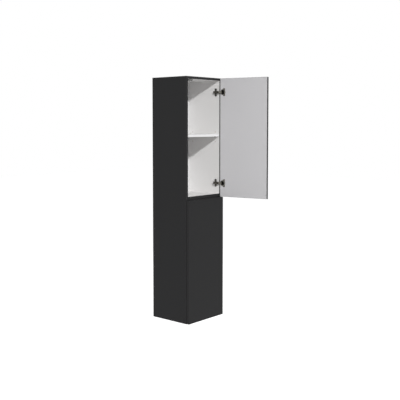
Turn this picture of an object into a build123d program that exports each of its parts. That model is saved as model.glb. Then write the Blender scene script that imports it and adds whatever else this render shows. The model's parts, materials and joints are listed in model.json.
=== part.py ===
from build123d import *
import math
import os

os.makedirs("parts", exist_ok=True)

# A tall, narrow, wall-hung cabinet with two doors, one above the other, in millimetres.
# X runs to the right, +Y runs into the wall and +Z runs up. Everything is drawn from the
# underside up, with the wall at y = 0, and saved with the origin on the wall rail.

# Overall sizes
width = 350.0
height = 1600.0
carcass_depth = 300.0
panel_thickness = 16.0
door_thickness = 18.0
band_thickness = 1.0
running_gap = 0.3
seat_play = 0.05
overrun = 1.0

# Doors, hung on the right-hand side
door_gap = 2.0
door_reveal = 1.5
door_split = 3.0
open_angle = 100.0

# The two boards between the compartments, the upper one screwed on from below. Their seam
# is above mid-height, and the gap between the doors is a little below the seam.
seam_rise = 12.0
split_drop = 6.0
board_screw_from_side = 79.0
board_screw_radius = 1.75
board_screw_length = 28.0
board_screw_head_radius = 3.5
board_screw_head_height = 1.6

# Back panel, let into grooves far enough in to leave room for the wall rail
back_thickness = 4.0
back_inset = 20.0
groove_depth = 6.0
groove_play = 0.1
groove_end_play = 0.5

# Shelves, and the rows of holes that their pins go in. The upper shelf's place is counted
# from mid-height, and the lower one's from the underside.
upper_shelf_rise = 420.0
lower_shelf_height = 400.0
shelf_end_play = 1.0
shelf_front_inset = 2.0
pin_row_inset = 37.0
pin_hole_radius = 2.5
pin_hole_depth = 9.0
pin_hole_pitch = 32.0
pin_hole_steps = 1
pin_play = 0.05
pin_reach = 7.0
pin_collar_radius = 3.75
pin_collar_thickness = 0.8

# Cam fittings and dowels that join the flat panels to the sides
joint_inset = 50.0
dowel_offset = 32.0
dowel_radius = 4.0
dowel_in_side = 11.0
dowel_in_panel = 19.0
cam_radius = 7.5
cam_depth = 12.5
cam_distance = 34.0
cam_slot_depth = 2.5
cam_slot_width = 2.0
bolt_radius = 3.0
bolt_in_side = 11.0
bolt_head_radius = 3.5
bolt_head_length = 3.0
bolt_neck_radius = 2.0
bolt_neck_length = 3.0
fitting_play = 0.1

# Concealed hinges. In plan, u runs inwards from the outer face of the side, and v runs
# forwards from the front edge of the carcass. On a door, p runs from its hinge edge and
# q goes in from its inner face. The link swings the door clear of the side as it opens.
hinge_from_door_end = 91.0
link_turn = 38.2
arm_pin_u = 26.0
arm_pin_v = 3.7
cup_pin_p = 8.0
cup_pin_q = 3.0
arm_pin_radius = 1.25
cup_pin_radius = 1.0
hinge_pin_play = 0.05
cup_radius = 17.5
cup_depth = 11.5
cup_wall = 1.0
cup_edge_distance = 3.0
cup_bore_play = 0.05
cup_hollow_height = 26.0
cup_hollow_reach = 30.0
cup_hollow_corner = 3.0
cup_rim_radius = 19.3
cup_flange_thickness = 1.0
cup_flange_height = 52.0
cup_flange_length = 15.0
cup_screw_spread = 45.0
cup_screw_offset = 9.5
cup_screw_radius = 1.7
cup_screw_length = 11.0
cup_screw_head_radius = 3.2
cup_screw_head_height = 1.4
link_height = 12.0
link_thickness = 2.0
link_eye_radius = 2.0
link_root_radius = 2.6
link_bend_u = 14.0
link_bend_v = 9.2
arm_wall = 1.5
arm_height = 16.0
arm_top_u = 30.5
arm_base_u = 21.0
arm_nose_radius = 3.2
arm_back_v = -42.0
arm_shoulder_v = -3.0
plate_wing_height = 52.0
plate_wing_width = 16.0
plate_wing_thickness = 2.2
plate_line_v = -32.0
plate_rib_front_v = -10.0
plate_rib_back_v = -41.0
plate_rib_play = 0.1
plate_screw_spread = 32.0
plate_screw_radius = 2.45
plate_screw_length = 11.0
plate_screw_head_radius = 4.0
plate_screw_head_height = 1.6
adjuster_places_v = (-36.5, -16.0)
adjuster_radius = 2.0
adjuster_length = 7.0
adjuster_head_radius = 3.2
adjuster_head_height = 1.2
cross_slot_width = 1.0
cross_slot_depth = 0.8
cross_slot_length = 4.0

# Push latches under the top panel and under the middle panel, near the free door edges
latch_from_side = 36.0
latch_front_inset = 4.0
latch_body_width = 16.0
latch_body_length = 72.0
latch_body_height = 14.0
latch_corner_radius = 3.0
latch_base_setback = 14.0
latch_base_width = 36.0
latch_base_length = 44.0
latch_base_thickness = 2.4
latch_screw_radius = 1.7
latch_screw_length = 11.0
latch_screw_head_radius = 3.2
latch_screw_head_height = 1.4
plunger_radius = 4.5
plunger_length = 44.0
plunger_travel = 8.0
plunger_play = 0.1
plunger_tip_round = 1.0
strike_radius = 9.0
strike_thickness = 1.0
bumper_radius = 4.0
bumper_from_door_end = 25.0

# Wall rail and the two brackets that hook over it, behind the back panel
rail_end_play = 9.0
rail_thickness = 2.0
rail_base_height = 36.0
rail_lip_height = 14.0
rail_lip_offset = 4.0
rail_from_top = 70.0
rail_hole_radius = 3.5
rail_hole_spacing = 200.0
rail_hole_drop = 18.0
bracket_thickness = 2.0
bracket_height = 70.0
bracket_depth = 17.0
bracket_reach = 34.0
bracket_hook_drop = 8.0
bracket_hook_play = 0.2
bracket_screw_radius = 2.2
bracket_screw_length = 12.0
bracket_screw_head_radius = 4.0
bracket_screw_head_height = 1.8
bracket_screw_spread = 32.0
bracket_screw_rise = 10.0

# Places worked out from the sizes above
half_width = width / 2
inner_half_width = half_width - panel_thickness
carcass_front = -carcass_depth
core_front = carcass_front + band_thickness
back_rear = -back_inset
back_front = back_rear - back_thickness
seam_height = height / 2 + seam_rise
split_height = seam_height - split_drop
upper_shelf_height = height / 2 + upper_shelf_rise
door_inner_face = carcass_front - door_gap
door_outer_face = door_inner_face - door_thickness
lower_door = (door_reveal, split_height - door_split / 2)
upper_door = (split_height + door_split / 2, height - door_reveal)
rail_top = height - rail_from_top
rail_hole_height = rail_top - rail_lip_height - rail_hole_drop
cup_pin_u = door_reveal + cup_pin_p
cup_pin_v = door_gap + cup_pin_q
cup_centre_p = cup_edge_distance + cup_radius
latch_x = -inner_half_width + latch_from_side
pin_rows = (carcass_front + pin_row_inset, back_front - pin_row_inset)
joint_places = (carcass_front + joint_inset, back_front - joint_inset)
flat_panel_heights = (0.0, seam_height - panel_thickness, height - panel_thickness)
upper_hinges = {"upper_top": upper_door[1] - hinge_from_door_end,
                "upper_bottom": upper_door[0] + hinge_from_door_end}
lower_hinges = {"lower_top": lower_door[1] - hinge_from_door_end,
                "lower_bottom": lower_door[0] + hinge_from_door_end}
all_hinges = {**upper_hinges, **lower_hinges}


def block(x, y, z):
    # A box between a low and a high value along each axis.
    spans = [(min(pair), max(pair)) for pair in (x, y, z)]
    size = [high - low for low, high in spans]
    middle = [(high + low) / 2 for low, high in spans]
    return Pos(*middle) * Box(*size)


def rod(start, direction, length, radius):
    # A round bar that starts at a point and runs along a direction.
    ends = (Align.CENTER, Align.CENTER, Align.MIN)
    return Plane(origin=start, z_dir=direction) * Cylinder(radius, length, align=ends)


def upright(u, v, low, high, radius):
    return rod((u, v, low), (0, 0, 1), high - low, radius)


def screw(start, direction, length, radius, head_radius, head_height):
    # A screw whose head stands on the start point, with a cross slot in its top.
    back = tuple(-part for part in direction)
    shank = rod(start, direction, length, radius)
    head = rod(start, back, head_height, head_radius)
    top = Plane(origin=start, z_dir=back) * Pos(0, 0, head_height - cross_slot_depth / 2)
    slot = Box(cross_slot_length, cross_slot_width, cross_slot_depth)
    return shank + head - top * slot - top * Rot(0, 0, 90) * slot


def group(pieces):
    # Separate solids kept side by side in one node.
    return [solid for piece in pieces for solid in piece.solids()]


def save(node, shape):
    # One file for one node, with its origin moved to the holes of the wall rail.
    solids = shape if isinstance(shape, list) else shape.solids()
    placed = [Pos(0, 0, -rail_hole_height) * solid for solid in solids]
    export_step(placed[0] if len(placed) == 1 else Compound(placed), f"parts/{node}.step")
    print(node, len(placed), "solid(s)")


def moved(location, pieces):
    return [location * piece for piece in pieces]


def turn_about(u, v, angle):
    # A turn about an upright axis that is given in the hinge plan.
    x, y = half_width - u, carcass_front - v
    return Pos(x, y, 0) * Rot(0, 0, angle) * Pos(-x, -y, 0)


# The upper door is drawn open and the lower door closed, as they hang at rest.
link_open = turn_about(arm_pin_u, arm_pin_v, -link_turn)
door_open = link_open * turn_about(cup_pin_u, cup_pin_v, open_angle + link_turn)


def at_hinge(z):
    # From the hinge plan (u, v) to the cabinet, at one height.
    return Pos(half_width, carcass_front, z) * Rot(0, 0, 180)


# Carcass

def shelf_pin_holes(side, shelf_height):
    face = side * inner_half_width
    seat = shelf_height - panel_thickness / 2 - pin_hole_radius + pin_play
    holes = []
    for row in pin_rows:
        for step in range(-pin_hole_steps, pin_hole_steps + 1):
            centre = (face, row, seat + step * pin_hole_pitch)
            holes.append(rod(centre, (side, 0, 0), pin_hole_depth, pin_hole_radius))
    return holes


def side_joint_holes(side):
    face = side * inner_half_width
    holes = []
    for base in flat_panel_heights:
        z = base + panel_thickness / 2
        for place in joint_places:
            inward = math.copysign(dowel_offset, middle_y - place)
            holes.append(rod((face, place, z), (side, 0, 0), bolt_in_side + seat_play,
                             bolt_radius + seat_play))
            holes.append(rod((face, place + inward, z), (side, 0, 0),
                             dowel_in_side + seat_play, dowel_radius + seat_play))
    return holes


middle_y = (carcass_front + back_front) / 2


def groove():
    depth = inner_half_width + groove_depth
    return block((-depth, depth),
                 (back_front - groove_play, back_rear + groove_play),
                 (panel_thickness - groove_depth, height - panel_thickness + groove_depth))


def side_panel(side):
    panel = block((side * inner_half_width, side * half_width), (core_front, 0), (0, height))
    cuts = side_joint_holes(side)
    for shelf_height in (upper_shelf_height, lower_shelf_height):
        cuts += shelf_pin_holes(side, shelf_height)
    cuts.append(groove())
    if side > 0:
        for z in all_hinges.values():
            cuts += [at_hinge(z) * screw_hole for screw_hole in plate_screw_holes()]
    for z in bracket_screw_heights():
        centre = (side * inner_half_width, bracket_screw_y, z)
        cuts.append(rod(centre, (side, 0, 0), bracket_screw_length,
                        bracket_screw_radius + seat_play))
    return panel - cuts


def panel_fittings(base, cam_side):
    # The cams, cam bolts and dowels at both ends of one flat panel. Cams go in from the
    # face that is out of sight: the top of the top panel, and the underside of the others.
    cams, bolts, dowels = [], [], []
    z = base + panel_thickness / 2
    cam_face = base + (panel_thickness if cam_side > 0 else 0)
    for side in (-1, 1):
        face = side * inner_half_width
        for place in joint_places:
            inward = math.copysign(dowel_offset, middle_y - place)
            neck_start = cam_distance - bolt_neck_length - bolt_head_length / 2
            bolt = rod((face, place, z), (side, 0, 0), bolt_in_side, bolt_radius)
            bolt += rod((face, place, z), (-side, 0, 0), neck_start, bolt_radius)
            bolt += rod((face - side * neck_start, place, z), (-side, 0, 0),
                        bolt_neck_length, bolt_neck_radius)
            bolt += rod((face - side * (neck_start + bolt_neck_length), place, z),
                        (-side, 0, 0), bolt_head_length, bolt_head_radius)
            centre_x = face - side * cam_distance
            cam = rod((centre_x, place, cam_face), (0, 0, -cam_side), cam_depth, cam_radius)
            cam -= rod((face, place, z), (-side, 0, 0), cam_distance + bolt_head_length,
                       bolt_head_radius + fitting_play)
            slot = block((centre_x - cam_radius, centre_x + cam_radius),
                         (place - cam_slot_width / 2, place + cam_slot_width / 2),
                         (cam_face, cam_face - cam_side * cam_slot_depth))
            cams.append(cam - slot)
            bolts.append(bolt)
            dowel_start = (face + side * dowel_in_side, place + inward, z)
            dowels.append(rod(dowel_start, (-side, 0, 0), dowel_in_side + dowel_in_panel,
                              dowel_radius))
    return cams, bolts, dowels


def flat_panel(base, cam_side, rear):
    panel = block((-inner_half_width, inner_half_width), (core_front, rear),
                  (base, base + panel_thickness))
    z = base + panel_thickness / 2
    cam_face = base + (panel_thickness if cam_side > 0 else 0)
    cuts = []
    for side in (-1, 1):
        face = side * inner_half_width
        for place in joint_places:
            inward = math.copysign(dowel_offset, middle_y - place)
            cuts.append(rod((face, place, z), (-side, 0, 0), cam_distance,
                            bolt_head_radius + fitting_play))
            cuts.append(rod((face - side * cam_distance, place, cam_face),
                            (0, 0, -cam_side), cam_depth, cam_radius))
            cuts.append(rod((face, place + inward, z), (-side, 0, 0),
                            dowel_in_panel + seat_play, dowel_radius + seat_play))
    return panel - cuts


def board_screw_places():
    x = inner_half_width - board_screw_from_side
    return [(side * x, y) for side in (-1, 1) for y in joint_places]


def board_screws():
    # They go up through the middle panel into the floor board that lies on it.
    start = seam_height - panel_thickness
    return [screw((x, y, start), (0, 0, 1), board_screw_length, board_screw_radius,
                  board_screw_head_radius, board_screw_head_height)
            for x, y in board_screw_places()]


def board_screw_holes():
    return [rod((x, y, seam_height - panel_thickness), (0, 0, 1), board_screw_length,
                board_screw_radius + seat_play) for x, y in board_screw_places()]


def floor_board():
    # The floor of the upper compartment.
    board = block((-inner_half_width, inner_half_width), (core_front, back_front - groove_play),
                  (seam_height, seam_height + panel_thickness))
    return board - board_screw_holes()


def back_panel():
    reach = inner_half_width + groove_depth - groove_end_play
    low = panel_thickness - groove_depth + groove_end_play
    return block((-reach, reach), (back_front, back_rear), (low, height - low))


def front_bands():
    # Bands glued on the front edges of the sides, the flat panels and the floor board.
    front = (carcass_front, core_front)
    bands = [block((side * inner_half_width, side * half_width), front, (0, height))
             for side in (-1, 1)]
    bands += [block((-inner_half_width, inner_half_width), front,
                    (base, base + panel_thickness))
              for base in (*flat_panel_heights, seam_height)]
    return group(bands)


# Shelves

def shelf_span():
    return inner_half_width - shelf_end_play


def shelf(shelf_height):
    return block((-shelf_span(), shelf_span()),
                 (core_front + shelf_front_inset, back_front - shelf_end_play),
                 (shelf_height - panel_thickness / 2, shelf_height + panel_thickness / 2))


def shelf_bands():
    front = (carcass_front + shelf_front_inset, core_front + shelf_front_inset)
    return group([block((-shelf_span(), shelf_span()), front,
                        (z - panel_thickness / 2, z + panel_thickness / 2))
                  for z in (upper_shelf_height, lower_shelf_height)])


def shelf_pins():
    pins = []
    radius = pin_hole_radius - pin_play
    for shelf_height in (upper_shelf_height, lower_shelf_height):
        z = shelf_height - panel_thickness / 2 - radius
        for side in (-1, 1):
            for row in pin_rows:
                face = (side * inner_half_width, row, z)
                pin = rod(face, (side, 0, 0), pin_hole_depth - running_gap, radius)
                pin += rod(face, (-side, 0, 0), pin_reach, radius)
                pins.append(pin + rod(face, (-side, 0, 0), pin_collar_thickness,
                                      pin_collar_radius))
    return group(pins)


# Hinges, drawn in the hinge plan about the middle of their height

def plate_screw_places():
    return [(plate_line_v, side * plate_screw_spread / 2) for side in (-1, 1)]


def plate_screw_holes():
    return [rod((panel_thickness, v, z), (-1, 0, 0), plate_screw_length,
                plate_screw_radius + seat_play) for v, z in plate_screw_places()]


def plate_screws():
    start = panel_thickness + plate_wing_thickness
    return [screw((start, v, z), (-1, 0, 0), plate_screw_length, plate_screw_radius,
                  plate_screw_head_radius, plate_screw_head_height)
            for v, z in plate_screw_places()]


def rib_top():
    return arm_top_u - arm_wall - plate_rib_play


def mounting_plate():
    half_rib = arm_height / 2 - arm_wall - plate_rib_play
    wings = block((panel_thickness, panel_thickness + plate_wing_thickness),
                  (plate_line_v - plate_wing_width / 2, plate_line_v + plate_wing_width / 2),
                  (-plate_wing_height / 2, plate_wing_height / 2))
    wings = fillet(wings.edges().filter_by(Axis.X), plate_wing_width / 3)
    rib = block((panel_thickness, rib_top()), (plate_rib_back_v, plate_rib_front_v),
                (-half_rib, half_rib))
    plate = wings + rib
    for v, z in plate_screw_places():
        plate -= rod((panel_thickness, v, z), (1, 0, 0), plate_wing_thickness,
                     plate_screw_radius + seat_play)
    for v in adjuster_places_v:
        plate -= rod((rib_top(), v, 0), (-1, 0, 0), adjuster_length,
                     adjuster_radius + seat_play)
    return plate


def adjusters():
    return [screw((arm_top_u, v, 0), (-1, 0, 0), adjuster_length, adjuster_radius,
                  adjuster_head_radius, adjuster_head_height) for v in adjuster_places_v]


def arm():
    # A folded channel over the plate's rib, with two cheeks that hold the arm pin.
    half = arm_height / 2
    nose_low = arm_pin_u - arm_nose_radius
    nose_high = arm_pin_u + arm_nose_radius
    body = block((arm_base_u, arm_top_u), (arm_back_v, arm_shoulder_v), (-half, half))
    body += block((nose_low, nose_high), (arm_shoulder_v, arm_pin_v), (-half, half))
    body += upright(arm_pin_u, arm_pin_v, -half, half, arm_nose_radius)
    inside = half - arm_wall
    body -= block((arm_base_u, arm_top_u - arm_wall),
                  (arm_back_v, arm_pin_v + arm_nose_radius), (-inside, inside))
    body -= block((arm_base_u, nose_high + overrun),
                  (arm_shoulder_v - arm_nose_radius, arm_pin_v + arm_nose_radius),
                  (-inside, inside))
    for v in adjuster_places_v:
        body -= rod((arm_top_u, v, 0), (-1, 0, 0), arm_wall, adjuster_radius + seat_play)
    return body - arm_pin()


def arm_pin():
    half = arm_height / 2
    return upright(arm_pin_u, arm_pin_v, -half, half, arm_pin_radius)


def cup_pin():
    # The pin spans the cup, with its ends let into the wall.
    far_side = cup_centre_p - cup_pin_p + cup_pin_radius
    half = math.sqrt(cup_radius ** 2 - far_side ** 2) - seat_play
    return upright(cup_pin_u, cup_pin_v, -half, half, cup_pin_radius)


def stroke(points, thickness, low, high):
    # A flat bar that follows a line of points in plan.
    bar = []
    for (u0, v0), (u1, v1) in zip(points, points[1:]):
        length = math.hypot(u1 - u0, v1 - v0)
        turn = math.degrees(math.atan2(v1 - v0, u1 - u0))
        run = Box(length, thickness, high - low)
        bar.append(Pos((u0 + u1) / 2, (v0 + v1) / 2, (low + high) / 2)
                   * Rot(0, 0, turn) * run)
    bar += [upright(u, v, low, high, thickness / 2) for u, v in points[1:-1]]
    return bar


def link():
    half = link_height / 2
    points = [(arm_pin_u, arm_pin_v), (link_bend_u, link_bend_v), (cup_pin_u, cup_pin_v)]
    body = upright(arm_pin_u, arm_pin_v, -half, half, link_root_radius)
    body += stroke(points, link_thickness, -half, half)
    body += upright(cup_pin_u, cup_pin_v, -half, half, link_eye_radius)
    body -= upright(arm_pin_u, arm_pin_v, -half, half, arm_pin_radius + hinge_pin_play)
    return body - upright(cup_pin_u, cup_pin_v, -half, half, cup_pin_radius + hinge_pin_play)


def cup_screw_places():
    u = door_reveal + cup_centre_p + cup_screw_offset
    return [(u, side * cup_screw_spread / 2) for side in (-1, 1)]


def cup_hollow(centre_u):
    # The space that the link folds into: round on the hinge side, and cut off short on the
    # far side, above and below.
    mouth, floor = door_gap - cup_flange_thickness, door_gap + cup_depth - cup_wall
    reach = block((door_reveal, door_reveal + cup_hollow_reach), (mouth, floor),
                  (-cup_hollow_height / 2, cup_hollow_height / 2))
    reach = fillet(reach.edges().filter_by(Axis.Y).sort_by(Axis.X)[-2:], cup_hollow_corner)
    return reach & rod((centre_u, mouth, 0), (0, 1, 0), floor - mouth, cup_radius - cup_wall)


def cup():
    # The cup, with its rim and a flange that lie on the door's inner face.
    centre_u = door_reveal + cup_centre_p
    centre = (centre_u, door_gap, 0)
    shell = rod(centre, (0, 1, 0), cup_depth, cup_radius)
    shell += rod(centre, (0, -1, 0), cup_flange_thickness, cup_rim_radius)
    flange_middle = centre_u + cup_screw_offset
    flange = block((flange_middle - cup_flange_length / 2, flange_middle + cup_flange_length / 2),
                   (door_gap - cup_flange_thickness, door_gap),
                   (-cup_flange_height / 2, cup_flange_height / 2))
    shell += fillet(flange.edges().filter_by(Axis.Y), cup_flange_length / 4)
    shell -= cup_hollow(centre_u)
    for u, z in cup_screw_places():
        shell -= rod((u, door_gap, z), (0, -1, 0), cup_flange_thickness,
                     cup_screw_radius + seat_play)
    return shell - cup_pin()


def cup_screws():
    start = door_gap - cup_flange_thickness
    return [screw((u, start, z), (0, 1, 0), cup_screw_length, cup_screw_radius,
                  cup_screw_head_radius, cup_screw_head_height)
            for u, z in cup_screw_places()]


def cup_bores():
    centre = (door_reveal + cup_centre_p, door_gap, 0)
    bores = [rod(centre, (0, 1, 0), cup_depth + cup_bore_play, cup_radius + cup_bore_play)]
    bores += [rod((u, door_gap, z), (0, 1, 0), cup_screw_length,
                  cup_screw_radius + seat_play) for u, z in cup_screw_places()]
    return bores


# Doors

def door_panel(base, top, hinges):
    # The board inside its edge bands, bored for its cups.
    reach = half_width - door_reveal - band_thickness
    panel = block((-reach, reach), (door_outer_face, door_inner_face),
                  (base + band_thickness, top - band_thickness))
    return panel - [at_hinge(z) * bore for z in hinges.values() for bore in cup_bores()]


def door_bands(base, top):
    reach = half_width - door_reveal
    core = reach - band_thickness
    thick = (door_outer_face, door_inner_face)
    bands = [block((side * core, side * reach), thick, (base, top)) for side in (-1, 1)]
    bands += [block((-core, core), thick, (base, base + band_thickness)),
              block((-core, core), thick, (top - band_thickness, top))]
    return group(bands)


def bumpers(base, top):
    x = -half_width + panel_thickness / 2
    return group([rod((x, door_inner_face, z), (0, 1, 0), door_gap - running_gap, bumper_radius)
                  for z in (base + bumper_from_door_end, top - bumper_from_door_end)])


# Push latches, each under the panel whose underside is at the given height

def latch_axis(ceiling):
    return ceiling - latch_body_height / 2


def tip_closed():
    return door_inner_face + strike_thickness + running_gap


def latch_front():
    return carcass_front + latch_front_inset


def latch_screw_places():
    y = latch_front() + latch_base_setback + latch_base_length / 2
    spread = (latch_base_width + latch_body_width) / 4
    return [(latch_x + side * spread, y) for side in (-1, 1)]


def latch_housing(ceiling):
    front = latch_front()
    half = latch_body_width / 2
    body = block((latch_x - half, latch_x + half), (front, front + latch_body_length),
                 (ceiling - latch_body_height, ceiling))
    body = fillet(body.edges().filter_by(Axis.Y).group_by(Axis.Z)[0], latch_corner_radius)
    middle = front + latch_base_setback + latch_base_length / 2
    base = block((latch_x - latch_base_width / 2, latch_x + latch_base_width / 2),
                 (middle - latch_base_length / 2, middle + latch_base_length / 2),
                 (ceiling - latch_base_thickness, ceiling))
    body += fillet(base.edges().filter_by(Axis.Z), latch_corner_radius)
    bore_depth = plunger_length + running_gap + tip_closed() - front
    body -= rod((latch_x, front, latch_axis(ceiling)), (0, 1, 0), bore_depth,
                plunger_radius + plunger_play)
    for x, y in latch_screw_places():
        body -= rod((x, y, ceiling), (0, 0, -1), latch_base_thickness,
                    latch_screw_radius + seat_play)
    return body


def latch_screws(ceiling):
    return [screw((x, y, ceiling - latch_base_thickness), (0, 0, 1), latch_screw_length,
                  latch_screw_radius, latch_screw_head_radius, latch_screw_head_height)
            for x, y in latch_screw_places()]


def latch_screw_holes(ceiling):
    return [rod((x, y, ceiling), (0, 0, 1), latch_screw_length,
                latch_screw_radius + seat_play) for x, y in latch_screw_places()]


def plunger(ceiling, reach):
    tip = (latch_x, tip_closed() - reach, latch_axis(ceiling))
    bar = rod(tip, (0, 1, 0), plunger_length, plunger_radius)
    return fillet(bar.edges().group_by(Axis.Y)[0], plunger_tip_round)


def strike(ceiling):
    return rod((latch_x, door_inner_face, latch_axis(ceiling)), (0, 1, 0), strike_thickness,
               strike_radius)


# Wall rail and brackets, in the space behind the back panel

bracket_screw_y = -(bracket_depth + rail_lip_offset + rail_thickness) / 2


def bracket_screw_heights():
    low = rail_top - bracket_height + bracket_screw_rise
    return [low, low + bracket_screw_spread]


def wall_rail():
    # A folded strip: a base on the wall, then a lip that stands off it.
    reach = inner_half_width - rail_end_play
    lip_base = rail_top - rail_lip_height
    lip_rear = -rail_lip_offset
    base = block((-reach, reach), (-rail_thickness, 0), (lip_base - rail_base_height, lip_base))
    fold = block((-reach, reach), (lip_rear - rail_thickness, 0),
                 (lip_base, lip_base + rail_thickness))
    lip = block((-reach, reach), (lip_rear - rail_thickness, lip_rear), (lip_base, rail_top))
    rail = base + fold + lip
    for side in (-1, 1):
        rail -= rod((side * rail_hole_spacing / 2, 0, rail_hole_height), (0, -1, 0),
                    rail_thickness, rail_hole_radius)
    return rail


def bracket(side):
    # A plate on the side panel, and a hook that hangs over the lip of the rail.
    face = side * inner_half_width
    plate_face = face - side * bracket_thickness
    inner = face - side * bracket_reach
    low = rail_top - bracket_height
    rear_of_lip = -rail_lip_offset + bracket_hook_play
    front_of_lip = -rail_lip_offset - rail_thickness - bracket_hook_play
    seat = rail_top + bracket_hook_play
    top = seat + bracket_thickness
    hook_rear = rear_of_lip + rail_thickness / 2
    piece = block((face, plate_face), (-running_gap, -bracket_depth), (low, top))
    piece -= block((face, plate_face), (-running_gap, front_of_lip),
                   (low, seat))
    piece += block((face, inner), (front_of_lip - bracket_thickness, front_of_lip),
                   (seat - rail_lip_height, top))
    piece += block((face, inner), (front_of_lip, hook_rear), (seat, top))
    piece += block((face, inner), (rear_of_lip, hook_rear), (seat - bracket_hook_drop, seat))
    for z in bracket_screw_heights():
        piece -= rod((face, bracket_screw_y, z), (-side, 0, 0), bracket_thickness,
                     bracket_screw_radius + seat_play)
    return piece


def bracket_screws():
    screws = []
    for side in (-1, 1):
        face = side * (inner_half_width - bracket_thickness)
        for z in bracket_screw_heights():
            screws.append(screw((face, bracket_screw_y, z), (side, 0, 0), bracket_screw_length,
                                bracket_screw_radius, bracket_screw_head_radius,
                                bracket_screw_head_height))
    return screws


# Write every piece

save("left_side_panel", side_panel(-1))
save("right_side_panel", side_panel(1))
latch_ceilings = {"upper": flat_panel_heights[2], "lower": flat_panel_heights[1]}
bottom = flat_panel(flat_panel_heights[0], -1, 0)
middle = flat_panel(flat_panel_heights[1], -1, back_front - groove_play)
top = flat_panel(flat_panel_heights[2], 1, 0)
save("bottom_panel", bottom - groove())
save("middle_panel", middle - latch_screw_holes(latch_ceilings["lower"]) - board_screw_holes())
save("middle_floor_board", floor_board())
save("middle_board_screws", group(board_screws()))
save("top_panel", top - groove() - latch_screw_holes(latch_ceilings["upper"]))
save("back_panel", back_panel())
save("carcass_edge_bands", front_bands())

fittings = [panel_fittings(base, cam_side)
            for base, cam_side in zip(flat_panel_heights, (-1, -1, 1))]
for node, pieces in zip(("cam_locks", "cam_bolts", "wood_dowels"), zip(*fittings)):
    save(node, group([piece for panel in pieces for piece in panel]))

save("upper_shelf", shelf(upper_shelf_height))
save("lower_shelf", shelf(lower_shelf_height))
save("shelf_edge_bands", shelf_bands())
save("shelf_pins", shelf_pins())

plate, channel, pin = mounting_plate(), arm(), arm_pin()
for name, z in all_hinges.items():
    save(f"{name}_hinge_plate", at_hinge(z) * plate)
    save(f"{name}_hinge_arm", at_hinge(z) * channel)
save("hinge_plate_screws", group([at_hinge(z) * piece for z in all_hinges.values()
                                  for piece in plate_screws()]))
save("hinge_adjusting_screws", group([at_hinge(z) * piece for z in all_hinges.values()
                                      for piece in adjusters()]))
save("hinge_arm_pins", group([at_hinge(z) * pin for z in all_hinges.values()]))

door_sets = {"upper": (upper_hinges, upper_door, door_open, link_open, plunger_travel),
             "lower": (lower_hinges, lower_door, Pos(0, 0, 0), Pos(0, 0, 0), 0.0)}
cup_piece, cup_pin_piece, link_piece = cup(), cup_pin(), link()
for door, (hinges, ends, swing, link_swing, reach) in door_sets.items():
    ceiling = latch_ceilings[door]
    save(f"{door}_door_panel", swing * door_panel(*ends, hinges))
    save(f"{door}_door_edge_bands", moved(swing, door_bands(*ends)))
    save(f"{door}_door_bumpers", moved(swing, bumpers(*ends)))
    save(f"{door}_strike_plate", swing * strike(ceiling))
    save(f"{door}_cup_screws", group([swing * at_hinge(z) * piece for z in hinges.values()
                                      for piece in cup_screws()]))
    save(f"{door}_cup_pins", group([swing * at_hinge(z) * cup_pin_piece
                                    for z in hinges.values()]))
    for name, z in hinges.items():
        save(f"{name}_hinge_cup", swing * at_hinge(z) * cup_piece)
        save(f"{name}_hinge_link", link_swing * at_hinge(z) * link_piece)
    save(f"{door}_latch_housing", latch_housing(ceiling))
    save(f"{door}_latch_plunger", plunger(ceiling, reach))
save("latch_screws", group([piece for ceiling in latch_ceilings.values()
                            for piece in latch_screws(ceiling)]))

save("wall_rail", wall_rail())
save("left_wall_bracket", bracket(-1))
save("right_wall_bracket", bracket(1))
save("bracket_screws", group(bracket_screws()))
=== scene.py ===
import json
import math
import bmesh
import bpy
from mathutils import Matrix, Vector


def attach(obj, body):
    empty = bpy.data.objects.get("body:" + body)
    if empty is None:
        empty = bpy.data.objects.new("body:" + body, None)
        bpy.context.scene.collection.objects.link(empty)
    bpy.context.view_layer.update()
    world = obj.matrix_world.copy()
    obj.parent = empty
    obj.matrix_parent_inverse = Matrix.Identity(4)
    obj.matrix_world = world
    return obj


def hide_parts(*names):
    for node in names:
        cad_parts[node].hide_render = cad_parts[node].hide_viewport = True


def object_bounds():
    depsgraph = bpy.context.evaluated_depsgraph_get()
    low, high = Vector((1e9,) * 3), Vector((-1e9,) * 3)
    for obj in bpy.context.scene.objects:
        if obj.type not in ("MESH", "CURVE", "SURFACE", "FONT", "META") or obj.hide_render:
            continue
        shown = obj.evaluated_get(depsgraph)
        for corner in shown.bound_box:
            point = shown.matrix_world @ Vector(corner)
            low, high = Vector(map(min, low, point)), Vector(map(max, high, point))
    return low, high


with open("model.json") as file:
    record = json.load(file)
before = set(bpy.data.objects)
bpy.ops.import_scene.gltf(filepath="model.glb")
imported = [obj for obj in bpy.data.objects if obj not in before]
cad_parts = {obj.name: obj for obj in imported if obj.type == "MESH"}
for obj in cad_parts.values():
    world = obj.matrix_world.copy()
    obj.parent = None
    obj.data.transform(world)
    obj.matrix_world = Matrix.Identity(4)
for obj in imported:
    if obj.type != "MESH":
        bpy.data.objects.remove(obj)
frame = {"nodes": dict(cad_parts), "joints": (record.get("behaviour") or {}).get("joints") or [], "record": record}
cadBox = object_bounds()
nodes = frame["nodes"]
record = frame["record"]
joints = {joint["name"]: joint for joint in frame["joints"]}
bodyOf = {node: body for body, members in record["behaviour"]["bodies"].items() for node in members}
mm = 0.001
white = (1.0, 1.0, 1.0, 1.0)
print("frame loaded:", len(nodes), "nodes")


# Helpers

def hexToLinear(text):
    channels = [int(text[i:i + 2], 16) / 255 for i in (1, 3, 5)]
    return tuple(c / 12.92 if c <= 0.04045 else ((c + 0.055) / 1.055) ** 2.4 for c in channels) + (1.0,)


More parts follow.
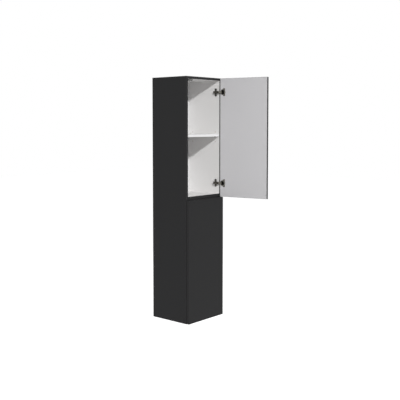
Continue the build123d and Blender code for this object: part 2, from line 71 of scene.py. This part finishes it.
def addNode(tree, kind, settings=None, inputs=None, links=None):
    node = tree.nodes.new(kind)
    for name, value in (settings or {}).items():
        setattr(node, name, value)
    for socket, value in (inputs or {}).items():
        node.inputs[socket].default_value = value
    for socket, source in (links or {}).items():
        tree.links.new(source, node.inputs[socket])
    return node


def newMaterial(name):
    # An empty Principled material, with the place on the object that its patterns read.
    material = bpy.data.materials.new(name)
    material.use_nodes = True
    tree = material.node_tree
    tree.nodes.clear()
    shader = addNode(tree, "ShaderNodeBsdfPrincipled")
    addNode(tree, "ShaderNodeOutputMaterial", links={"Surface": shader.outputs["BSDF"]})
    place = addNode(tree, "ShaderNodeTexCoord").outputs["Object"]
    return material, tree, shader, place


def restAngle(door):
    # How far a door stands open at rest: what its swing and its links can still close.
    swing, link = joints[door + "_door_swing"], joints[door + "_link_turn"]
    return math.radians(-swing["range_deg"][0] - link["range_deg"][1])


def turned(door, direction):
    # A direction on the closed door, as it points at rest.
    return Matrix.Rotation(restAngle(door), 3, "Z") @ Vector(direction)


def joinUp(tree, shader, sources):
    for socket, source in sources.items():
        tree.links.new(source, shader.inputs[socket])


# A Mix node's share is its socket 0, its two numbers are 2 and 3, and its two colours 6 and 7.

def onFace(tree, place, node, direction, depth):
    # 1 within a depth of the node's outermost face in a direction, and 0 further in.
    reach = max(direction.dot(vertex.co) for vertex in nodes[node].data.vertices)
    along = addNode(tree, "ShaderNodeVectorMath", {"operation": "DOT_PRODUCT"}, {1: direction},
                    {0: place}).outputs["Value"]
    return addNode(tree, "ShaderNodeMath", {"operation": "GREATER_THAN"}, {1: reach - depth},
                   {0: along}).outputs["Value"]


def layPattern(tree, shader, pattern, tones, roughness, relief=None):
    # One pattern varies a finish between two tones and two roughnesses. A relief is its
    # strength and its depth.
    first, second = (hexToLinear(tone) for tone in tones)
    colour = addNode(tree, "ShaderNodeMix", {"data_type": "RGBA"}, {6: first, 7: second},
                     {0: pattern}).outputs[2]
    low, high = roughness
    shine = addNode(tree, "ShaderNodeMapRange", inputs={"To Min": low, "To Max": high},
                    links={"Value": pattern}).outputs["Result"]
    joinUp(tree, shader, {"Base Color": colour, "Roughness": shine})
    if relief:
        strength, depth = relief
        bump = addNode(tree, "ShaderNodeBump", inputs={"Strength": strength, "Distance": depth},
                       links={"Height": pattern}).outputs["Normal"]
        joinUp(tree, shader, {"Normal": bump})


def seenAsWhite(tree):
    # 1 for what the camera, mirrors and glass see, and 0 for what only gives light.
    path = addNode(tree, "ShaderNodeLightPath").outputs
    seen = path["Is Camera Ray"]
    for ray in ("Is Glossy Ray", "Is Transmission Ray"):
        seen = addNode(tree, "ShaderNodeMath", {"operation": "MAXIMUM"},
                       links={0: seen, 1: path[ray]}).outputs[0]
    return seen


def dress(node, material):
    for slot in nodes[node].material_slots:
        slot.material = material


# Boards

# Melamine-faced particle board, pressed flat with a fine pearl: white inside, graphite outside,
# and bare chips on sawn edges and where a fitting is let in. The doors get dimmer copies of
# both faces, a greyer white inside and a darker graphite in front, which are painted shade.
board = {
    "white": "#efeeed", "whiteShade": "#e8e7e6", "whiteRoughness": 0.45,
    # the doors' greyer white is painted shade, a dimmed copy of the inside white
    "doorShadedWhite": "#d4d3d5", "doorShadedWhiteShade": "#cecdcf", "doorShadedWhiteRoughness": 0.45,
    "graphite": "#252526", "graphiteShade": "#212122", "graphiteRoughness": 0.6,
    # the doors' darker graphite is painted shade, a dimmed copy of the carcass graphite
    "doorShadedGraphite": "#1f1f20", "doorShadedGraphiteShade": "#1b1b1c", "doorShadedGraphiteRoughness": 0.6,
    "chips": ("#8d6a40", "#cfae7c"), "chipsRoughness": 0.85,
    "specular": 0.2,        # a matt facing
    "pearl": 1.2 * mm,      # twice as coarse as real, so that it shows
    "pearlDetail": 3.0,
    "chip": 2.5 * mm,
    "facing": 0.3 * mm,
    "relief": (0.25, 0.15 * mm),
}


def melamineBoard(node, faces):
    # faces is a list of (tone, direction)
    material, tree, shader, place = newMaterial("melamineBoard_" + node)
    pearl = addNode(tree, "ShaderNodeTexNoise",
                    inputs={"Scale": 1 / board["pearl"], "Detail": board["pearlDetail"]},
                    links={"Vector": place}).outputs["Fac"]
    chips = addNode(tree, "ShaderNodeTexVoronoi", inputs={"Scale": 1 / board["chip"]},
                    links={"Vector": place}).outputs["Color"]
    dark, light = (hexToLinear(tone) for tone in board["chips"])
    colour = addNode(tree, "ShaderNodeMix", {"data_type": "RGBA"}, {6: dark, 7: light},
                     {0: chips}).outputs[2]
    roughness = None
    for tone, direction in faces:
        faced = onFace(tree, place, node, Vector(direction), board["facing"])
        face = addNode(tree, "ShaderNodeMix", {"data_type": "RGBA"},
                       {6: hexToLinear(board[tone]), 7: hexToLinear(board[tone + "Shade"])},
                       {0: pearl}).outputs[2]
        colour = addNode(tree, "ShaderNodeMix", {"data_type": "RGBA"},
                         links={0: faced, 6: colour, 7: face}).outputs[2]
        shine = addNode(tree, "ShaderNodeMix", {"data_type": "FLOAT"},
                        {2: board["chipsRoughness"], 3: board[tone + "Roughness"]}, {0: faced})
        if roughness:
            tree.links.new(roughness, shine.inputs[2])
        roughness = shine.outputs[0]
    strength, depth = board["relief"]
    relief = addNode(tree, "ShaderNodeBump", inputs={"Strength": strength, "Distance": depth},
                     links={"Height": pearl}).outputs["Normal"]
    joinUp(tree, shader, {"Base Color": colour, "Roughness": roughness, "Normal": relief})
    shader.inputs["Specular IOR Level"].default_value = board["specular"]
    dress(node, material)


left, rear, up = (-1, 0, 0), (0, 1, 0), (0, 0, 1)
right, front, down = (1, 0, 0), (0, -1, 0), (0, 0, -1)
for side, outwards, inwards in (("left", left, right), ("right", right, left)):
    melamineBoard(side + "_side_panel", [("graphite", outwards), ("graphite", up),
                                         ("graphite", down), ("white", inwards)])
melamineBoard("top_panel", [("graphite", up), ("white", down)])
melamineBoard("bottom_panel", [("graphite", down), ("white", up)])
melamineBoard("middle_panel", [("white", down)])
melamineBoard("middle_floor_board", [("white", up)])
for shelf in ("upper_shelf", "lower_shelf"):
    melamineBoard(shelf, [("white", up), ("white", down)])
# painted shade: the doors take the dimmed copies of both faces
for door in ("upper", "lower"):
    melamineBoard(door + "_door_panel", [("doorShadedGraphite", turned(door, front)),
                                         ("doorShadedWhite", turned(door, rear))])

# Hardboard back: lacquered white in front, and bare pressed fibre behind.
hardboard = {"lacquer": "#e2e2e3", "lacquerRoughness": 0.5, "lacquerDepth": 0.3 * mm,
             "fibres": ("#7d5a3a", "#94704b"), "fibresRoughness": 0.8, "fibre": 0.8 * mm,
             "fibreDetail": 4.0, "relief": (0.2, 0.1 * mm), "specular": 0.2}


def lacqueredHardboard(node):
    material, tree, shader, place = newMaterial("lacqueredHardboard")
    fibres = addNode(tree, "ShaderNodeTexNoise",
                     inputs={"Scale": 1 / hardboard["fibre"], "Detail": hardboard["fibreDetail"]},
                     links={"Vector": place}).outputs["Fac"]
    dark, light = (hexToLinear(tone) for tone in hardboard["fibres"])
    bare = addNode(tree, "ShaderNodeMix", {"data_type": "RGBA"}, {6: dark, 7: light},
                   {0: fibres}).outputs[2]
    lacquered = onFace(tree, place, node, Vector(front), hardboard["lacquerDepth"])
    colour = addNode(tree, "ShaderNodeMix", {"data_type": "RGBA"}, {7: hexToLinear(hardboard["lacquer"])},
                     {0: lacquered, 6: bare}).outputs[2]
    shine = addNode(tree, "ShaderNodeMix", {"data_type": "FLOAT"},
                    {2: hardboard["fibresRoughness"], 3: hardboard["lacquerRoughness"]},
                    {0: lacquered}).outputs[0]
    strength, depth = hardboard["relief"]
    relief = addNode(tree, "ShaderNodeBump", inputs={"Strength": strength, "Distance": depth},
                     links={"Height": fibres}).outputs["Normal"]
    joinUp(tree, shader, {"Base Color": colour, "Roughness": shine, "Normal": relief})
    shader.inputs["Specular IOR Level"].default_value = hardboard["specular"]
    dress(node, material)


lacqueredHardboard("back_panel")
print("boards dressed")


# Plastics, metals and dowels

edging = {"graphite": ("#252526", "#212122"), "white": ("#f4f4f4", "#ededee"),
          "strike": ("#d6d5d7", "#cdccce"), "roughness": (0.5, 0.6), "specular": 0.2,
          "ripple": 4 * mm, "rippleDetail": 2.0, "relief": (0.2, 0.1 * mm)}


def extrudedAbs(name, tone):
    # Extruded ABS, smoother than the board and with a slow ripple: bands trimmed and scraped
    # flush with the boards, and strike plates punched from sheet.
    material, tree, shader, place = newMaterial(name)
    ripple = addNode(tree, "ShaderNodeTexNoise",
                     inputs={"Scale": 1 / edging["ripple"], "Detail": edging["rippleDetail"]},
                     links={"Vector": place}).outputs["Fac"]
    layPattern(tree, shader, ripple, edging[tone], edging["roughness"], edging["relief"])
    shader.inputs["Specular IOR Level"].default_value = edging["specular"]
    return material


plating = {
    "pressed": ("#827f77", "#63615a"), "diecast": ("#757370", "#585653"), "bright": ("#a9a69e", "#8c8a83"),
    "nickelRoughness": (0.26, 0.44), "nickelRelief": (0.15, 0.05 * mm),
    "drawing": 0.6 * mm,    # a few times as coarse as real, so that it shows
    "drawingDetail": 2.0, "drawnOut": (1.0, 1.0, 0.08),
    # the cup's hollow: near black and a little rougher, as painted shade
    "paintedCupShade": ("#1c1b19", "#2a2927"), "paintedCupShadeRoughness": 0.55, "rimDepth": 0.6 * mm,
    "zinc": ("#a2a6ab", "#82878d"), "zincRoughness": (0.32, 0.5), "crystal": 5 * mm,
}


def nickelPlate(name, tone):
    # Nickel plate: a soft warm-grey mirror with faint drawing lines, darker on a die casting.
    material, tree, shader, place = newMaterial(name)
    drawnOut = addNode(tree, "ShaderNodeMapping", inputs={"Scale": plating["drawnOut"]},
                       links={"Vector": place}).outputs["Vector"]
    lines = addNode(tree, "ShaderNodeTexNoise",
                    inputs={"Scale": 1 / plating["drawing"], "Detail": plating["drawingDetail"]},
                    links={"Vector": drawnOut}).outputs["Fac"]
    layPattern(tree, shader, lines, plating[tone], plating["nickelRoughness"], plating["nickelRelief"])
    shader.inputs["Metallic"].default_value = 1.0
    return material


def hingeCup(node, mouth):
    # A nickel-plated cup whose inside below its rim is painted near black: painted shade in its hollow.
    material, tree, shader, place = newMaterial("nickelPlatedCup_" + node)
    wear = addNode(tree, "ShaderNodeTexNoise",
                   inputs={"Scale": 1 / plating["drawing"], "Detail": plating["drawingDetail"]},
                   links={"Vector": place}).outputs["Fac"]
    outside = onFace(tree, place, node, mouth, plating["rimDepth"])
    tones = []
    # painted shade below the rim, bright nickel on the rim
    for tone in ("paintedCupShade", "bright"):
        first, second = (hexToLinear(shade) for shade in plating[tone])
        tones.append(addNode(tree, "ShaderNodeMix", {"data_type": "RGBA"}, {6: first, 7: second},
                             {0: wear}).outputs[2])
    colour = addNode(tree, "ShaderNodeMix", {"data_type": "RGBA"},
                     links={0: outside, 6: tones[0], 7: tones[1]}).outputs[2]
    shine = addNode(tree, "ShaderNodeMix", {"data_type": "FLOAT"},
                    {2: plating["paintedCupShadeRoughness"], 3: plating["nickelRoughness"][0]},
                    {0: outside}).outputs[0]
    joinUp(tree, shader, {"Base Color": colour, "Roughness": shine})
    shader.inputs["Metallic"].default_value = 1.0
    dress(node, material)


def zincPlatedSteel():
    # Zinc plate: bluish grey, with faint crystals that catch the light one by one.
    material, tree, shader, place = newMaterial("zincPlatedSteel")
    crystals = addNode(tree, "ShaderNodeTexVoronoi", inputs={"Scale": 1 / plating["crystal"]},
                       links={"Vector": place}).outputs["Color"]
    layPattern(tree, shader, crystals, plating["zinc"], plating["zincRoughness"])
    shader.inputs["Metallic"].default_value = 1.0
    return material


moulding = {
    "abs": ("#8d8d8c", "#7f7f7e"), "absRoughness": (0.42, 0.55), "absRelief": (0.4, 0.2 * mm),
    "spark": 0.8 * mm, "sparkDetail": 4.0,
    "pad": ("#e6e8e9", "#d9dcde"), "padRoughness": (0.2, 0.32), "padClearness": 0.35,
    "cloud": 2 * mm, "cloudDetail": 2.0,
}


def mouldedAbs():
    # Injection-moulded ABS: matt and grainy from a spark-eroded mould, coarser than real.
    material, tree, shader, place = newMaterial("mouldedGreyAbs")
    spark = addNode(tree, "ShaderNodeTexNoise",
                    inputs={"Scale": 1 / moulding["spark"], "Detail": moulding["sparkDetail"]},
                    links={"Vector": place}).outputs["Fac"]
    layPattern(tree, shader, spark, moulding["abs"], moulding["absRoughness"], moulding["absRelief"])
    return material


def clearPolyurethane():
    # Soft cast polyurethane: milky, half clear and slightly glossy.
    material, tree, shader, place = newMaterial("clearPolyurethane")
    cloud = addNode(tree, "ShaderNodeTexNoise",
                    inputs={"Scale": 1 / moulding["cloud"], "Detail": moulding["cloudDetail"]},
                    links={"Vector": place}).outputs["Fac"]
    layPattern(tree, shader, cloud, moulding["pad"], moulding["padRoughness"])
    shader.inputs["Transmission Weight"].default_value = moulding["padClearness"]
    return material


beech = {"grain": ("#cda577", "#b48857"), "roughness": (0.55, 0.75), "ring": 1.2 * mm,
         "ringDetail": 3.0, "drawnOut": (0.1, 1.0, 1.0)}


def pressedBeech():
    # Pressed beech, with its growth lines running along the dowel.
    material, tree, shader, place = newMaterial("pressedBeech")
    drawnOut = addNode(tree, "ShaderNodeMapping", inputs={"Scale": beech["drawnOut"]},
                       links={"Vector": place}).outputs["Vector"]
    rings = addNode(tree, "ShaderNodeTexNoise",
                    inputs={"Scale": 1 / beech["ring"], "Detail": beech["ringDetail"]},
                    links={"Vector": drawnOut}).outputs["Fac"]
    layPattern(tree, shader, rings, beech["grain"], beech["roughness"])
    return material


graphiteEdging = extrudedAbs("graphiteAbsEdging", "graphite")
whiteEdging = extrudedAbs("whiteAbsEdging", "white")
strikePlastic = extrudedAbs("punchedAbsSheet", "strike")
nickel = nickelPlate("nickelPlatedSteel", "pressed")
castNickel = nickelPlate("nickelPlatedZinc", "diecast")
zinc = zincPlatedSteel()
greyAbs = mouldedAbs()
padding = clearPolyurethane()
beechwood = pressedBeech()
print("materials made")


# Rounded copies of the small pieces, each in the place of its node

rounding = {"bands": 0.3 * mm, "moulded": 0.5 * mm, "pads": 0.7 * mm, "folded": 0.35 * mm,
            "segments": 2, "sharpAngle": 35, "flatWeight": 100,
            "merge": 0.001 * mm, "flatAngle": 0.5}


def mergedCopy(node):
    shape = bmesh.new()
    shape.from_mesh(nodes[node].data)
    bmesh.ops.remove_doubles(shape, verts=shape.verts, dist=rounding["merge"])
    bmesh.ops.dissolve_limit(shape, angle_limit=math.radians(rounding["flatAngle"]),
                             verts=shape.verts, edges=shape.edges)
    return shape


def plainMesh(blank):
    # The mesh that an object's modifiers give, and the object is gone.
    mesh = bpy.data.meshes.new_from_object(blank.evaluated_get(bpy.context.evaluated_depsgraph_get()))
    bpy.data.objects.remove(blank)
    return mesh


def takePlace(mesh, name, node, material):
    # Puts a finished mesh where a node is, on the node's body.
    piece = bpy.data.objects.new(name, mesh)
    bpy.context.collection.objects.link(piece)
    mesh.materials.clear()
    mesh.materials.append(material)
    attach(piece, bodyOf[node])
    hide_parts(node)


def rounded(node, radius, material):
    # A copy of a node with its sharp edges rounded off.
    shape = mergedCopy(node)
    mesh = bpy.data.meshes.new(node + "_rounded")
    shape.to_mesh(mesh)
    shape.free()
    mesh.polygons.foreach_set("use_smooth", [True] * len(mesh.polygons))
    blank = bpy.data.objects.new("blank", mesh)
    bpy.context.collection.objects.link(blank)
    bevel = blank.modifiers.new("edges", "BEVEL")
    bevel.width = radius
    bevel.segments = rounding["segments"]
    bevel.limit_method = "ANGLE"
    bevel.angle_limit = math.radians(rounding["sharpAngle"])
    even = blank.modifiers.new("evenShading", "WEIGHTED_NORMAL")     # the flats shade flat
    even.weight = rounding["flatWeight"]
    takePlace(plainMesh(blank), node + "_rounded", node, material)


for node in ("carcass_edge_bands", "upper_door_edge_bands", "lower_door_edge_bands"):
    dress(node, graphiteEdging)
rounded("shelf_edge_bands", rounding["bands"], whiteEdging)
for end in ("upper_top", "upper_bottom", "lower_top", "lower_bottom"):
    dress(end + "_hinge_plate", castNickel)
    dress(end + "_hinge_arm", nickel)
    dress(end + "_hinge_link", nickel)
    hingeCup(end + "_hinge_cup", turned(end.split("_")[0], rear))
for node in ("shelf_pins", "hinge_arm_pins", "upper_cup_pins", "lower_cup_pins"):
    dress(node, nickel)
for door in ("upper", "lower"):
    rounded(door + "_latch_housing", rounding["moulded"], greyAbs)
    rounded(door + "_door_bumpers", rounding["pads"], padding)
    rounded(door + "_strike_plate", rounding["bands"], strikePlastic)
    dress(door + "_latch_plunger", greyAbs)
for node in ("wall_rail", "left_wall_bracket", "right_wall_bracket"):
    rounded(node, rounding["folded"], zinc)
for node in ("cam_locks", "cam_bolts"):
    dress(node, zinc)
dress("wood_dowels", beechwood)
print("small pieces rounded and dressed")


# Screws

screwTree = {"vertices": 32, "domeVertices": 48, "slotWidth": 0.9 * mm, "slotLengthShare": 0.62,
             "slotDepthShare": 0.55, "rimShare": 0.45, "seed": 7}
# A head and a shank are each a radius and a length in mm. Sideways is away from the middle.
screws = {
    "hinge_plate_screws": {"aim": right, "head": (4.0, 1.6), "shank": (2.45, 11.0), "finish": nickel},
    "hinge_adjusting_screws": {"aim": right, "head": (3.2, 1.2), "shank": (2.0, 7.0), "finish": nickel},
    "upper_cup_screws": {"aim": turned("upper", front), "head": (3.2, 1.4), "shank": (1.7, 11.0),
                         "finish": nickel},
    "lower_cup_screws": {"aim": turned("lower", front), "head": (3.2, 1.4), "shank": (1.7, 11.0),
                         "finish": nickel},
    "latch_screws": {"aim": up, "head": (3.2, 1.4), "shank": (1.7, 11.0), "finish": zinc},
    "middle_board_screws": {"aim": up, "head": (3.5, 1.6), "shank": (1.75, 28.0), "finish": zinc},
    "bracket_screws": {"aim": "sideways", "head": (4.0, 1.8), "shank": (2.2, 12.0), "finish": zinc},
}


def crossScrewTree():
    # Domed screws, driven along each point's aim and turned at random. Each is meant to have a
    # cross slot, but the Boolean nodes' default solver leaves faces out of it, and cuts none
    # in the cup and latch screws.
    tree = bpy.data.node_groups.new("crossScrews", "GeometryNodeTree")
    tree.interface.new_socket("Points", in_out="INPUT", socket_type="NodeSocketGeometry")
    for name in ("Head Radius", "Head Height", "Shank Radius", "Shank Length", "Slot Width",
                 "Slot Length", "Slot Depth", "Dome Radius"):
        tree.interface.new_socket(name, in_out="INPUT", socket_type="NodeSocketFloat")
    tree.interface.new_socket("Seed", in_out="INPUT", socket_type="NodeSocketInt")
    tree.interface.new_socket("Finish", in_out="INPUT", socket_type="NodeSocketMaterial")
    tree.interface.new_socket("Screws", in_out="OUTPUT", socket_type="NodeSocketGeometry")
    given = addNode(tree, "NodeGroupInput").outputs

    # Heights along a screw whose head's underside is at 0 and whose point is up.
    heights = {}
    for place, name, factor in (("blank", "Head Height", -0.5), ("top", "Head Height", -1.0),
                                ("shank", "Shank Length", 0.5)):
        height = addNode(tree, "ShaderNodeMath", {"operation": "MULTIPLY"}, {1: factor},
                         {0: given[name]}).outputs[0]
        heights[place] = addNode(tree, "ShaderNodeCombineXYZ", links={"Z": height}).outputs["Vector"]
    sink = addNode(tree, "ShaderNodeMath", {"operation": "SUBTRACT"},
                   links={0: given["Dome Radius"], 1: given["Head Height"]}).outputs[0]
    heights["dome"] = addNode(tree, "ShaderNodeCombineXYZ", links={"Z": sink}).outputs["Vector"]

    blank = addNode(tree, "GeometryNodeMeshCylinder", inputs={"Vertices": screwTree["vertices"]},
                    links={"Radius": given["Head Radius"], "Depth": given["Head Height"]}).outputs["Mesh"]
    blank = addNode(tree, "GeometryNodeTransform", links={
        "Geometry": blank, "Translation": heights["blank"]}).outputs["Geometry"]
    ball = addNode(tree, "GeometryNodeMeshUVSphere",
                   inputs={"Segments": screwTree["domeVertices"], "Rings": screwTree["domeVertices"]},
                   links={"Radius": given["Dome Radius"]}).outputs["Mesh"]
    ball = addNode(tree, "GeometryNodeTransform",
                   links={"Geometry": ball, "Translation": heights["dome"]}).outputs["Geometry"]
    dome = addNode(tree, "GeometryNodeMeshBoolean", {"operation": "INTERSECT"}, links={"Mesh 2": blank})
    tree.links.new(ball, dome.inputs["Mesh 2"])
    shank = addNode(tree, "GeometryNodeMeshCylinder", inputs={"Vertices": screwTree["vertices"]},
                    links={"Radius": given["Shank Radius"], "Depth": given["Shank Length"]}).outputs["Mesh"]
    shank = addNode(tree, "GeometryNodeTransform", links={
        "Geometry": shank, "Translation": heights["shank"]}).outputs["Geometry"]
    body = addNode(tree, "GeometryNodeMeshBoolean", {"operation": "UNION"},
                   links={"Mesh 2": dome.outputs["Mesh"]})
    tree.links.new(shank, body.inputs["Mesh 2"])
    cross = addNode(tree, "GeometryNodeMeshBoolean", {"operation": "DIFFERENCE"},
                    links={"Mesh 1": body.outputs["Mesh"]})
    deep = addNode(tree, "ShaderNodeMath", {"operation": "MULTIPLY"}, {1: 2.0},
                   {0: given["Slot Depth"]}).outputs[0]
    for along, across in (("X", "Y"), ("Y", "X")):
        size = addNode(tree, "ShaderNodeCombineXYZ", links={
            along: given["Slot Length"], across: given["Slot Width"], "Z": deep}).outputs["Vector"]
        bar = addNode(tree, "GeometryNodeMeshCube", links={"Size": size}).outputs["Mesh"]
        bar = addNode(tree, "GeometryNodeTransform",
                      links={"Geometry": bar, "Translation": heights["top"]}).outputs["Geometry"]
        tree.links.new(bar, cross.inputs["Mesh 2"])

    aim = addNode(tree, "GeometryNodeInputNamedAttribute", {"data_type": "FLOAT_VECTOR"},
                  {"Name": "aim"}).outputs["Attribute"]
    driven = addNode(tree, "FunctionNodeAlignRotationToVector", {"axis": "Z"},
                     links={"Vector": aim}).outputs["Rotation"]
    turn = addNode(tree, "FunctionNodeRandomValue", {"data_type": "FLOAT"},
                   {2: 0.0, 3: math.tau}, {"Seed": given["Seed"]}).outputs[1]
    spin = addNode(tree, "FunctionNodeAxisAngleToRotation", inputs={"Axis": (0, 0, 1)},
                   links={"Angle": turn}).outputs["Rotation"]
    stance = addNode(tree, "FunctionNodeRotateRotation", {"rotation_space": "LOCAL"},
                     links={"Rotation": driven, "Rotate By": spin}).outputs["Rotation"]
    placed = addNode(tree, "GeometryNodeInstanceOnPoints",
                     links={"Points": given["Points"], "Instance": cross.outputs["Mesh"],
                            "Rotation": stance}).outputs["Instances"]
    real = addNode(tree, "GeometryNodeRealizeInstances", links={"Geometry": placed}).outputs["Geometry"]
    finished = addNode(tree, "GeometryNodeSetMaterial",
                       links={"Geometry": real, "Material": given["Finish"]}).outputs["Geometry"]
    addNode(tree, "NodeGroupOutput", links={"Screws": finished})
    return tree


def screwSeats(node, aim, headHeight):
    # The middle of the underside of each screw's head, and the way the screw is driven.
    shape = mergedCopy(node)
    waiting = set(shape.verts)
    seats = []
    while waiting:
        island, edgeOfIsland = [], [waiting.pop()]
        while edgeOfIsland:
            vertex = edgeOfIsland.pop()
            island.append(vertex.co.copy())
            for edge in vertex.link_edges:
                other = edge.other_vert(vertex)
                if other in waiting:
                    waiting.remove(other)
                    edgeOfIsland.append(other)
        middle = sum(island, Vector()) / len(island)
        way = Vector((math.copysign(1, middle.x), 0, 0)) if aim == "sideways" else Vector(aim)
        across = way.orthogonal().normalized()
        seat = Vector()
        for axis in (across, way.cross(across)):
            reaches = [axis.dot(point) for point in island]
            seat += axis * (min(reaches) + max(reaches)) / 2
        seat += way * (min(way.dot(point) for point in island) + headHeight)
        seats.append((seat, way))
    shape.free()
    return sorted(seats, key=lambda seat: tuple(seat[0]))    # so that each run turns them alike


def driveScrews(node, tree):
    facts = screws[node]
    headRadius, headHeight = (size * mm for size in facts["head"])
    shankRadius, shankLength = (size * mm for size in facts["shank"])
    seats = screwSeats(node, facts["aim"], headHeight)
    points = bpy.data.meshes.new(node)
    points.from_pydata([seat for seat, way in seats], [], [])
    aims = points.attributes.new("aim", "FLOAT_VECTOR", "POINT")
    aims.data.foreach_set("vector", [part for seat, way in seats for part in way])
    holder = bpy.data.objects.new(node, points)
    bpy.context.collection.objects.link(holder)
    modifier = holder.modifiers.new("screws", "NODES")
    modifier.node_group = tree
    sag = headHeight * (1 - screwTree["rimShare"])
    values = {
        "Head Radius": headRadius, "Head Height": headHeight, "Shank Radius": shankRadius,
        "Shank Length": shankLength, "Slot Width": screwTree["slotWidth"],
        "Slot Length": 2 * headRadius * screwTree["slotLengthShare"],
        "Slot Depth": headHeight * screwTree["slotDepthShare"],
        "Dome Radius": (headRadius ** 2 + sag ** 2) / (2 * sag), "Seed": screwTree["seed"],
        "Finish": facts["finish"],
    }
    for item in tree.interface.items_tree:
        if item.name in values:
            modifier[item.identifier] = values[item.name]
    takePlace(plainMesh(holder), node + "_driven", node, facts["finish"])
    return len(seats)


crossScrews = crossScrewTree()
print("screws driven:", sum(driveScrews(node, crossScrews) for node in screws))


# Stage, lights and camera

stage = {"floorDrop": 0.30, "floorSize": 30.0, "floor": "#a8a8a8", "roughness": 0.9, "lift": 0.9}


def paleFloor(level):
    # The camera, mirrors and glass see the floor lifted to white, and the shadow on it stays.
    material, tree, shader = newMaterial("paleFloor")[:3]
    shader.inputs["Base Color"].default_value = hexToLinear(stage["floor"])
    shader.inputs["Roughness"].default_value = stage["roughness"]
    strength = addNode(tree, "ShaderNodeMath", {"operation": "MULTIPLY"}, {1: stage["lift"]},
                       {0: seenAsWhite(tree)}).outputs[0]
    glow = addNode(tree, "ShaderNodeEmission", inputs={"Color": white},
                   links={"Strength": strength}).outputs[0]
    both = addNode(tree, "ShaderNodeAddShader", links={0: shader.outputs[0], 1: glow}).outputs[0]
    below = addNode(tree, "ShaderNodeNewGeometry").outputs["Backfacing"]    # clear from underneath
    clear = addNode(tree, "ShaderNodeBsdfTransparent").outputs[0]
    surface = addNode(tree, "ShaderNodeMixShader", links={0: below, 1: both, 2: clear}).outputs[0]
    output = next(node for node in tree.nodes if node.type == "OUTPUT_MATERIAL")
    tree.links.new(surface, output.inputs["Surface"])
    mesh = bpy.data.meshes.new("paleFloor")
    half = stage["floorSize"] / 2
    corners = [(x * half, y * half, level) for x, y in ((-1, -1), (1, -1), (1, 1), (-1, 1))]
    mesh.from_pydata(corners, [], [(0, 1, 2, 3)])
    mesh.materials.append(material)
    floor = bpy.data.objects.new("paleFloor", mesh)
    bpy.context.collection.objects.link(floor)


# The key stands front left and above, where the shade's edge inside the right panel puts it.
# It faces down, which evens out its light over the height of the cabinet.
# The rear lamp is for the right side and the back, and reaches nothing that the camera sees.
lighting = {
    "surround": 0.18,
    "key": {"place": (-2.35, -4.0, 1.84), "target": (-1.9, -3.3, -2.5), "size": 0.4, "power": 298.0},
    "rear": {"place": (2.2, 2.5, 0.6), "target": (0.0, 0.0, -0.7), "size": 1.2, "power": 60.0},
}


def studioWorld():
    # White to the camera, in mirrors and through glass, and dimmer as light.
    world = bpy.data.worlds.new("studio")
    bpy.context.scene.world = world
    world.use_nodes = True
    tree = world.node_tree
    tree.nodes.clear()
    strength = addNode(tree, "ShaderNodeMapRange", inputs={"To Min": lighting["surround"], "To Max": 1.0},
                       links={"Value": seenAsWhite(tree)}).outputs[0]
    back = addNode(tree, "ShaderNodeBackground", inputs={"Color": white},
                   links={"Strength": strength}).outputs[0]
    addNode(tree, "ShaderNodeOutputWorld", links={"Surface": back})


def softLamp(name):
    facts = lighting[name]
    light = bpy.data.lights.new(name, "AREA")
    light.size = facts["size"]
    light.energy = facts["power"]
    lamp = bpy.data.objects.new(name, light)
    bpy.context.collection.objects.link(lamp)
    lamp.location = facts["place"]
    aim = Vector(facts["target"]) - Vector(facts["place"])
    lamp.rotation_euler = aim.to_track_quat("-Z", "Y").to_euler()


# The camera is fitted to the photograph's edges: it stands 4.9 m off, left of the front.
lens = {"place": (-3.5617, -3.3312, -0.2047), "heading": 49.27, "dip": 3.8, "focalPixels": 713.1,
        "framePixels": 400.0, "risePixels": 28.3, "sensor": 36.0}


def addCamera():
    camera = bpy.data.cameras.new("camera")
    camera.sensor_width = lens["sensor"]
    camera.lens = lens["focalPixels"] / lens["framePixels"] * lens["sensor"]
    camera.shift_y = -lens["risePixels"] / lens["framePixels"]
    eye = bpy.data.objects.new("camera", camera)
    bpy.context.collection.objects.link(eye)
    heading, dip = math.radians(lens["heading"]), math.radians(lens["dip"])
    look = Vector((math.sin(heading) * math.cos(dip), math.cos(heading) * math.cos(dip), -math.sin(dip)))
    eye.location = lens["place"]
    eye.rotation_euler = look.to_track_quat("-Z", "Y").to_euler()
    bpy.context.scene.camera = eye


paleFloor(cadBox[0].z - stage["floorDrop"])
studioWorld()
softLamp("key")
softLamp("rear")
addCamera()
bpy.context.scene.view_settings.view_transform = "Standard"
print("stage ready")
